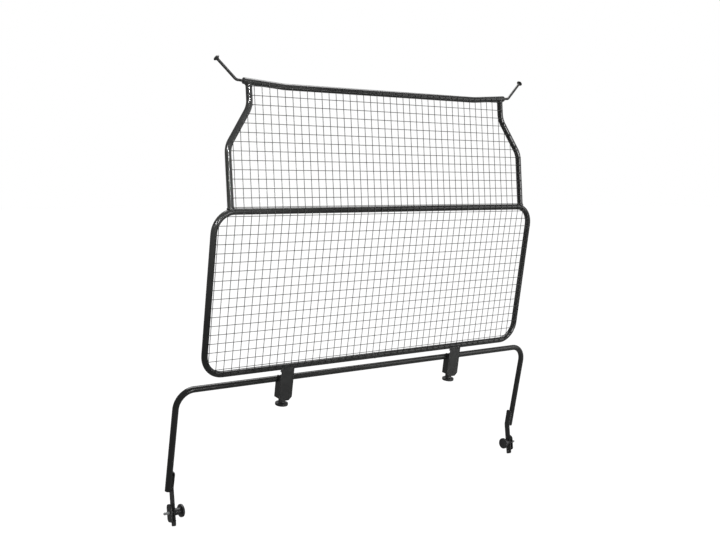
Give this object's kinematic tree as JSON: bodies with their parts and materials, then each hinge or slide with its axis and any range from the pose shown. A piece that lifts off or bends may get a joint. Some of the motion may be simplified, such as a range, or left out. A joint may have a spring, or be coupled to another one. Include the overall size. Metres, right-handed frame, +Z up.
{
  "type": "vehicle cargo barrier",
  "caption": "Full-height vehicle cargo barrier: bent tube frame with welded wire mesh, sprung roof hooks and a lower bar whose legs end in screw-down jaws.",
  "frame": {"origin": "middle of the overall box, at the level of the lowest point of the feet", "axes": "+Z up as installed, X across the vehicle, -Y towards the cabin (the side that carries the mesh), +Y towards the load"},
  "size_m": [1.3786, 0.175, 1.2829],
  "materials": {
    "frame_coat": "black powder coat, satin, fine orange peel",
    "wire_coat": "black powder coat on welded wire",
    "bracket_coat": "black powder coat on folded sheet",
    "knob_plastic": "moulded black plastic",
    "plug_plastic": "moulded black plastic",
    "zinc_plate": "bright zinc plate",
    "spring_steel": "drawn spring wire"
  },
  "bodies": {
    "guard": {"lower_frame_loop": "frame_coat", "lower_vertical_wires": "wire_coat", "lower_horizontal_wires": "wire_coat", "upper_vertical_wires": "wire_coat", "upper_horizontal_wires": "wire_coat", "top_rail": "frame_coat", "left_side_tube": "frame_coat", "left_clamp_bracket": "bracket_coat", "left_clamp_nut": "zinc_plate", "left_rail_plug": "plug_plastic", "left_spring_stop": "zinc_plate", "left_hook_spring": "spring_steel", "right_side_tube": "frame_coat", "right_clamp_bracket": "bracket_coat", "right_clamp_nut": "zinc_plate", "right_rail_plug": "plug_plastic", "right_spring_stop": "zinc_plate", "right_hook_spring": "spring_steel"},
    "lower_bar": {"lower_bar": "frame_coat", "left_foot_strap": "bracket_coat", "right_foot_strap": "bracket_coat"},
    "left_saddle": {"left_saddle": "zinc_plate"},
    "left_clamp_knob": {"left_clamp_screw": "zinc_plate", "left_clamp_knob": "knob_plastic"},
    "left_roof_hook": {"left_roof_hook": "frame_coat", "left_hook_collar": "zinc_plate"},
    "left_foot_knob": {"left_foot_knob": "knob_plastic", "left_foot_stud": "zinc_plate"},
    "left_foot_jaw": {"left_foot_jaw": "bracket_coat"},
    "right_saddle": {"right_saddle": "zinc_plate"},
    "right_clamp_knob": {"right_clamp_screw": "zinc_plate", "right_clamp_knob": "knob_plastic"},
    "right_roof_hook": {"right_roof_hook": "frame_coat", "right_hook_collar": "zinc_plate"},
    "right_foot_knob": {"right_foot_knob": "knob_plastic", "right_foot_stud": "zinc_plate"},
    "right_foot_jaw": {"right_foot_jaw": "bracket_coat"}
  },
  "joints": [
    {"name": "bar_swing", "type": "hinge", "parent": "guard", "child": "lower_bar", "pos_m": [0, 0.01459, 0.38787], "axis": [1, 0, 0], "range_deg": [-90, 158]},
    {"name": "left_saddle_travel", "type": "slide", "parent": "guard", "child": "left_saddle", "axis": [0, -0.1668, 0.986], "range_m": [-0.012, 0]},
    {"name": "left_clamp_knob_turn", "type": "hinge", "parent": "left_saddle", "child": "left_clamp_knob", "pos_m": [-0.328, 0.0055, 0.4236], "axis": [0, -0.1668, 0.986], "range_deg": [-3456, 0]},
    {"name": "left_hook_press", "type": "slide", "parent": "guard", "child": "left_roof_hook", "axis": [-0.9974, 0.0052, 0.0713], "range_m": [-0.01, 0], "stiffness_N_per_m": 1500, "springref_m": 0.006, "deforming": ["left_hook_spring"]},
    {"name": "left_foot_knob_turn", "type": "hinge", "parent": "lower_bar", "child": "left_foot_knob", "pos_m": [-0.636, 0.06892, 0.04071], "axis": [-1, 0, 0], "range_deg": [-1440, 1152]},
    {"name": "left_jaw_slide", "type": "slide", "parent": "lower_bar", "child": "left_foot_jaw", "axis": [-1, 0, 0], "range_m": [-0.004, 0.005]},
    {"name": "right_saddle_travel", "type": "slide", "parent": "guard", "child": "right_saddle", "axis": [0, -0.1668, 0.986], "range_m": [-0.012, 0]},
    {"name": "right_clamp_knob_turn", "type": "hinge", "parent": "right_saddle", "child": "right_clamp_knob", "pos_m": [0.328, 0.0055, 0.4236], "axis": [0, -0.1668, 0.986], "range_deg": [-3456, 0]},
    {"name": "right_hook_press", "type": "slide", "parent": "guard", "child": "right_roof_hook", "axis": [0.9974, 0.0052, 0.0713], "range_m": [-0.01, 0], "stiffness_N_per_m": 1500, "springref_m": 0.006, "deforming": ["right_hook_spring"]},
    {"name": "right_foot_knob_turn", "type": "hinge", "parent": "lower_bar", "child": "right_foot_knob", "pos_m": [0.636, 0.06892, 0.04071], "axis": [1, 0, 0], "range_deg": [-1440, 1152]},
    {"name": "right_jaw_slide", "type": "slide", "parent": "lower_bar", "child": "right_foot_jaw", "axis": [1, 0, 0], "range_m": [-0.004, 0.005]}
  ],
  "couplings": [
    {"joint": "left_clamp_knob_turn", "follows": "left_saddle_travel", "rad_per_m": 5026.5},
    {"joint": "left_foot_knob_turn", "follows": "left_jaw_slide", "rad_per_m": -5026.5},
    {"joint": "right_clamp_knob_turn", "follows": "right_saddle_travel", "rad_per_m": 5026.5},
    {"joint": "right_foot_knob_turn", "follows": "right_jaw_slide", "rad_per_m": -5026.5}
  ]
}
